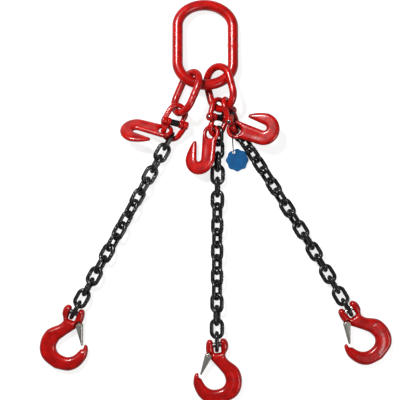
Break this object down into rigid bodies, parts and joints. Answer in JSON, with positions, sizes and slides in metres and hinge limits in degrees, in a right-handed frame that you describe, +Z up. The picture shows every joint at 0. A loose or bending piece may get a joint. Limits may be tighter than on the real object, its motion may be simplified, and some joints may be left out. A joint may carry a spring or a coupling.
{
  "type": "chain sling",
  "caption": "Chain sling with a large master link, sublinks, two-part couplings, grab hooks, chain legs and latched sling hooks, lying flat.",
  "frame": {"origin": "middle of the underside of the box round the sling as it lies", "axes": "+Y from the sling hooks towards the master link, +Z up from the floor, +X to the right seen from above"},
  "size_m": [0.825, 0.9446, 0.075],
  "materials": {
    "red_paint": "glossy red enamel on forged alloy steel",
    "chain_steel": "black oxidised and oiled alloy chain, satin",
    "zinc_steel": "zinc plated pressed steel",
    "pin_steel": "bright turned steel pins, spring wire",
    "bush": "black oxidised steel bush",
    "tag": "blue enamelled identity tag, blank"
  },
  "bodies": {
    "master": {"master_link": "red_paint"},
    "sublink_left": {"sublink_left": "red_paint"},
    "sublink_right": {"sublink_right": "red_paint"},
    "coupling_top_left": {"coupling_upper_half_left": "red_paint", "coupling_pin_left": "pin_steel", "coupling_bush_left": "bush"},
    "coupling_bottom_left": {"coupling_lower_half_left": "red_paint"},
    "grab_hook_left": {"grab_hook_left": "red_paint"},
    "chain_left_1": {"chain_left_1": "chain_steel"},
    "chain_left_2": {"chain_left_2": "chain_steel"},
    "chain_left_3": {"chain_left_3": "chain_steel"},
    "chain_left_4": {"chain_left_4": "chain_steel"},
    "chain_left_5": {"chain_left_5": "chain_steel"},
    "chain_left_6": {"chain_left_6": "chain_steel"},
    "chain_left_7": {"chain_left_7": "chain_steel"},
    "sling_hook_left": {"sling_hook_left": "red_paint", "clevis_pin_left": "pin_steel", "roll_pin_left": "pin_steel", "latch_pin_left": "zinc_steel", "latch_spring_left": "pin_steel"},
    "latch_left": {"latch_left": "zinc_steel"},
    "coupling_top_middle": {"coupling_upper_half_middle": "red_paint", "coupling_pin_middle": "pin_steel", "coupling_bush_middle": "bush"},
    "coupling_bottom_middle": {"coupling_lower_half_middle": "red_paint"},
    "grab_hook_middle": {"grab_hook_middle": "red_paint"},
    "chain_middle_1": {"chain_middle_1": "chain_steel"},
    "chain_middle_2": {"chain_middle_2": "chain_steel"},
    "chain_middle_3": {"chain_middle_3": "chain_steel"},
    "chain_middle_4": {"chain_middle_4": "chain_steel"},
    "chain_middle_5": {"chain_middle_5": "chain_steel"},
    "chain_middle_6": {"chain_middle_6": "chain_steel"},
    "chain_middle_7": {"chain_middle_7": "chain_steel"},
    "sling_hook_middle": {"sling_hook_middle": "red_paint", "clevis_pin_middle": "pin_steel", "roll_pin_middle": "pin_steel", "latch_pin_middle": "zinc_steel", "latch_spring_middle": "pin_steel"},
    "latch_middle": {"latch_middle": "zinc_steel"},
    "coupling_top_right": {"coupling_upper_half_right": "red_paint", "coupling_pin_right": "pin_steel", "coupling_bush_right": "bush"},
    "coupling_bottom_right": {"coupling_lower_half_right": "red_paint"},
    "grab_hook_right": {"grab_hook_right": "red_paint"},
    "chain_right_1": {"chain_right_1": "chain_steel"},
    "chain_right_2": {"chain_right_2": "chain_steel"},
    "chain_right_3": {"chain_right_3": "chain_steel"},
    "chain_right_4": {"chain_right_4": "chain_steel"},
    "chain_right_5": {"chain_right_5": "chain_steel"},
    "chain_right_6": {"chain_right_6": "chain_steel"},
    "chain_right_7": {"chain_right_7": "chain_steel"},
    "sling_hook_right": {"sling_hook_right": "red_paint", "clevis_pin_right": "pin_steel", "roll_pin_right": "pin_steel", "latch_pin_right": "zinc_steel", "latch_spring_right": "pin_steel"},
    "latch_right": {"latch_right": "zinc_steel"},
    "tag_ring": {"tag_ring": "pin_steel"},
    "id_tag": {"id_tag": "tag"}
  },
  "joints": [
    {"name": "sublink_left_swing", "type": "hinge", "parent": "master", "child": "sublink_left", "pos_m": [-0.0571, 0.27958, 0.03827], "axis": [-0.7624, 0.3182, 0.5635], "range_deg": [-6, 4]},
    {"name": "sublink_right_swing", "type": "hinge", "parent": "master", "child": "sublink_right", "pos_m": [0.00544, 0.28023, 0.03329], "axis": [-0.6318, -0.0076, 0.7751], "range_deg": [-20, 20]},
    {"name": "coupling_left_on_sublink", "type": "hinge", "parent": "sublink_left", "child": "coupling_top_left", "pos_m": [-0.09001, 0.20575, 0.03633], "axis": [0.2358, -0.1036, 0.9663], "range_deg": [-14, 14]},
    {"name": "coupling_left_load_pin", "type": "hinge", "parent": "coupling_top_left", "child": "coupling_bottom_left", "pos_m": [-0.09553, 0.18344, 0.03528], "axis": [0.9417, -0.2212, -0.2535], "range_deg": [-28, 28]},
    {"name": "grab_hook_left_swing", "type": "hinge", "parent": "coupling_bottom_left", "child": "grab_hook_left", "pos_m": [-0.12083, 0.16624, 0.03188], "axis": [0.0193, -0.7063, -0.7077], "range_deg": [-20, 20]},
    {"name": "chain_left_1_on_coupling", "type": "hinge", "parent": "coupling_bottom_left", "child": "chain_left_1", "pos_m": [-0.10627, 0.15038, 0.01838], "axis": [0.8638, -0.4729, -0.1736], "range_deg": [-20, 18]},
    {"name": "chain_left_2_bend", "type": "hinge", "parent": "chain_left_1", "child": "chain_left_2", "pos_m": [-0.13004, 0.10696, 0.0184], "axis": [0.3094, -0.1696, 0.9357], "range_deg": [-24, 24]},
    {"name": "chain_left_3_bend", "type": "hinge", "parent": "chain_left_2", "child": "chain_left_3", "pos_m": [-0.16314, 0.04664, 0.01841], "axis": [0.7488, -0.4113, -0.5198], "range_deg": [-24, 24]},
    {"name": "chain_left_4_bend", "type": "hinge", "parent": "chain_left_3", "child": "chain_left_4", "pos_m": [-0.18731, 0.00265, 0.01842], "axis": [0.586, -0.3224, 0.7434], "range_deg": [-24, 24]},
    {"name": "chain_left_5_bend", "type": "hinge", "parent": "chain_left_4", "child": "chain_left_5", "pos_m": [-0.22049, -0.05762, 0.01844], "axis": [0.5315, -0.2929, -0.7948], "range_deg": [-24, 24]},
    {"name": "chain_left_6_bend", "type": "hinge", "parent": "chain_left_5", "child": "chain_left_6", "pos_m": [-0.24472, -0.10159, 0.01845], "axis": [0.7821, -0.4318, 0.4493], "range_deg": [-24, 24]},
    {"name": "chain_left_7_bend", "type": "hinge", "parent": "chain_left_6", "child": "chain_left_7", "pos_m": [-0.29284, -0.18868, 0.01847], "axis": [-0.8597, 0.4758, -0.1858], "range_deg": [-24, 24]},
    {"name": "sling_hook_left_on_clevis_pin", "type": "hinge", "parent": "chain_left_7", "child": "sling_hook_left", "pos_m": [-0.33102, -0.25761, 0.01748], "axis": [-0.9272, 0.3746, 0], "range_deg": [-60, 60]},
    {"name": "latch_left_opens", "type": "hinge", "parent": "sling_hook_left", "child": "latch_left", "pos_m": [-0.31812, -0.28976, 0.01639], "axis": [0.0163, 0.0404, -0.999], "range_deg": [0, 24], "stiffness_Nm_per_rad": 0.15},
    {"name": "coupling_middle_on_sublink", "type": "hinge", "parent": "sublink_right", "child": "coupling_top_middle", "pos_m": [0.00633, 0.21973, 0.02908], "axis": [0.6724, -0.0288, 0.7396], "range_deg": [-14, 4]},
    {"name": "coupling_middle_load_pin", "type": "hinge", "parent": "coupling_top_middle", "child": "coupling_bottom_middle", "pos_m": [0.00557, 0.19674, 0.02888], "axis": [0.7394, -0.0187, -0.673], "range_deg": [-12, 28]},
    {"name": "grab_hook_middle_swing", "type": "hinge", "parent": "coupling_bottom_middle", "child": "grab_hook_middle", "pos_m": [-0.01123, 0.15994, 0.02818], "axis": [-0.4519, 0.2056, 0.868], "range_deg": [-20, 20]},
    {"name": "chain_middle_1_on_coupling", "type": "hinge", "parent": "coupling_bottom_middle", "child": "chain_middle_1", "pos_m": [0.00487, 0.16364, 0.01808], "axis": [0.7524, -0.0079, -0.6587], "range_deg": [0, 18]},
    {"name": "chain_middle_2_bend", "type": "hinge", "parent": "chain_middle_1", "child": "chain_middle_2", "pos_m": [0.00437, 0.11415, 0.01813], "axis": [0.2622, -0.0024, 0.965], "range_deg": [-24, 24]},
    {"name": "chain_middle_3_bend", "type": "hinge", "parent": "chain_middle_2", "child": "chain_middle_3", "pos_m": [0.00376, 0.04535, 0.01818], "axis": [0.9823, -0.0077, 0.1874], "range_deg": [-24, 24]},
    {"name": "chain_middle_4_bend", "type": "hinge", "parent": "chain_middle_3", "child": "chain_middle_4", "pos_m": [0.00338, -0.00485, 0.01823], "axis": [-0.599, 0.0039, 0.8007], "range_deg": [-24, 24]},
    {"name": "chain_middle_5_bend", "type": "hinge", "parent": "chain_middle_4", "child": "chain_middle_5", "pos_m": [0.00295, -0.07365, 0.01828], "axis": [0.8007, -0.0042, 0.599], "range_deg": [-24, 24]},
    {"name": "chain_middle_6_bend", "type": "hinge", "parent": "chain_middle_5", "child": "chain_middle_6", "pos_m": [0.00258, -0.15455, 0.01836], "axis": [0.8007, -0.0026, 0.599], "range_deg": [-24, 24]},
    {"name": "chain_middle_7_bend", "type": "hinge", "parent": "chain_middle_6", "child": "chain_middle_7", "pos_m": [0.00232, -0.25405, 0.01843], "axis": [-0.9466, 0.0012, -0.3223], "range_deg": [-24, 24]},
    {"name": "sling_hook_middle_on_clevis_pin", "type": "hinge", "parent": "chain_middle_7", "child": "sling_hook_middle", "pos_m": [0.00227, -0.33285, 0.01748], "axis": [0.9925, 0.1219, 0], "range_deg": [-60, 60]},
    {"name": "latch_middle_opens", "type": "hinge", "parent": "sling_hook_middle", "child": "latch_middle", "pos_m": [-0.01851, -0.36056, 0.01639], "axis": [0.0053, -0.0433, 0.999], "range_deg": [0, 24], "stiffness_Nm_per_rad": 0.15},
    {"name": "coupling_right_on_sublink", "type": "hinge", "parent": "sublink_right", "child": "coupling_top_right", "pos_m": [0.02552, 0.21988, 0.04737], "axis": [0.9075, 0.2448, 0.3413], "range_deg": [-8, 12]},
    {"name": "coupling_right_load_pin", "type": "hinge", "parent": "coupling_top_right", "child": "coupling_bottom_right", "pos_m": [0.03427, 0.20094, 0.03768], "axis": [0.1779, 0.5119, -0.8404], "range_deg": [-28, 4]},
    {"name": "grab_hook_right_swing", "type": "hinge", "parent": "coupling_bottom_right", "child": "grab_hook_right", "pos_m": [0.04567, 0.16784, 0.03558], "axis": [0.1722, -0.0309, -0.9846], "range_deg": [0, 10]},
    {"name": "chain_right_1_on_coupling", "type": "hinge", "parent": "coupling_bottom_right", "child": "chain_right_1", "pos_m": [0.04749, 0.16974, 0.02018], "axis": [0.423, 0.2832, -0.8607], "range_deg": [-6, 0]},
    {"name": "chain_right_2_bend", "type": "hinge", "parent": "chain_right_1", "child": "chain_right_2", "pos_m": [0.07496, 0.12856, 0.01997], "axis": [0.5304, 0.3487, 0.7727], "range_deg": [-24, 24]},
    {"name": "chain_right_3_bend", "type": "hinge", "parent": "chain_right_2", "child": "chain_right_3", "pos_m": [0.11262, 0.07099, 0.01976], "axis": [0.6981, 0.4508, -0.5563], "range_deg": [-24, 24]},
    {"name": "chain_right_4_bend", "type": "hinge", "parent": "chain_right_3", "child": "chain_right_4", "pos_m": [0.13978, 0.02877, 0.01955], "axis": [0.3991, 0.253, 0.8813], "range_deg": [-24, 24]},
    {"name": "chain_right_5_bend", "type": "hinge", "parent": "chain_right_4", "child": "chain_right_5", "pos_m": [0.17649, -0.02942, 0.01933], "axis": [0.7838, 0.4879, -0.3843], "range_deg": [-24, 24]},
    {"name": "chain_right_6_bend", "type": "hinge", "parent": "chain_right_5", "child": "chain_right_6", "pos_m": [0.21898, -0.09827, 0.01901], "axis": [0.8293, 0.502, -0.2453], "range_deg": [-24, 24]},
    {"name": "chain_right_7_bend", "type": "hinge", "parent": "chain_right_6", "child": "chain_right_7", "pos_m": [0.27014, -0.18361, 0.0187], "axis": [-0.8574, -0.5046, 0.1011], "range_deg": [-24, 24]},
    {"name": "sling_hook_right_on_clevis_pin", "type": "hinge", "parent": "chain_right_7", "child": "sling_hook_right", "pos_m": [0.30983, -0.25168, 0.01748], "axis": [0.7986, 0.6018, 0], "range_deg": [-60, 60]},
    {"name": "latch_right_opens", "type": "hinge", "parent": "sling_hook_right", "child": "latch_right", "pos_m": [0.30569, -0.28607, 0.01639], "axis": [0.0263, -0.0348, 0.999], "range_deg": [0, 24], "stiffness_Nm_per_rad": 0.15},
    {"name": "tag_ring_swing", "type": "hinge", "parent": "grab_hook_right", "child": "tag_ring", "pos_m": [0.03754, 0.15695, 0.03602], "axis": [0.9962, 0.0872, 0], "range_deg": [0, 10]},
    {"name": "id_tag_swing", "type": "hinge", "parent": "tag_ring", "child": "id_tag", "pos_m": [0.04046, 0.12045, 0.00829], "axis": [0.9135, 0.4067, 0], "range_deg": [0, 20]}
  ]
}
